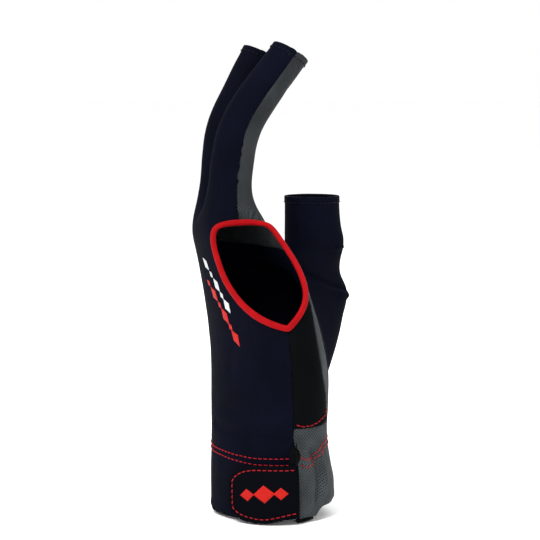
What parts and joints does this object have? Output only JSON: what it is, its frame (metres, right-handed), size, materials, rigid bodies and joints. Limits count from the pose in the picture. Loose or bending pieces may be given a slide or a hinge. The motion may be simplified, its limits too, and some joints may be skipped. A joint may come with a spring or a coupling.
{
  "type": "billiard glove",
  "caption": "Open-fingered billiard glove for thumb, index and middle fingers, with a bound side opening, mesh palm and wrist tab.",
  "frame": {"origin": "middle of the wrist opening at the hem, where the hand goes in", "axes": "+Z from the wrist to the fingertips, +X out of the palm, +Y toward the thumb side; the bound opening for the ring and little fingers faces -Y"},
  "size_m": [0.0718, 0.0778, 0.2004],
  "materials": {
    "back_panel": "stretch cloth, navy, matt with a faint sheen",
    "palm_mesh": "knitted mesh, mid grey",
    "heel_patch": "smooth stretch cloth, black",
    "thumb_panel": "stretch cloth, navy, matt with a faint sheen",
    "finger_mesh": "knitted mesh, mid grey",
    "opening_binding": "folded edge binding, red",
    "hem_tape": "woven tape, black",
    "slit_tape": "woven tape, black",
    "hook_pad": "hook tape, black",
    "closure_tab": "laminated stretch cloth, near black navy, red edge stitching",
    "stitching": "sewing thread, dark red",
    "print": "raised transfer print, white and red"
  },
  "bodies": {
    "root": {"back_panel": "back_panel", "palm_mesh": "palm_mesh", "heel_patch": "heel_patch", "thumb_panel": "thumb_panel", "finger_mesh": "finger_mesh", "opening_binding": "opening_binding", "hem_tape": "hem_tape", "slit_tape": "slit_tape", "hook_pad": "hook_pad", "closure_tab": "closure_tab"}
  },
  "joints": []
}
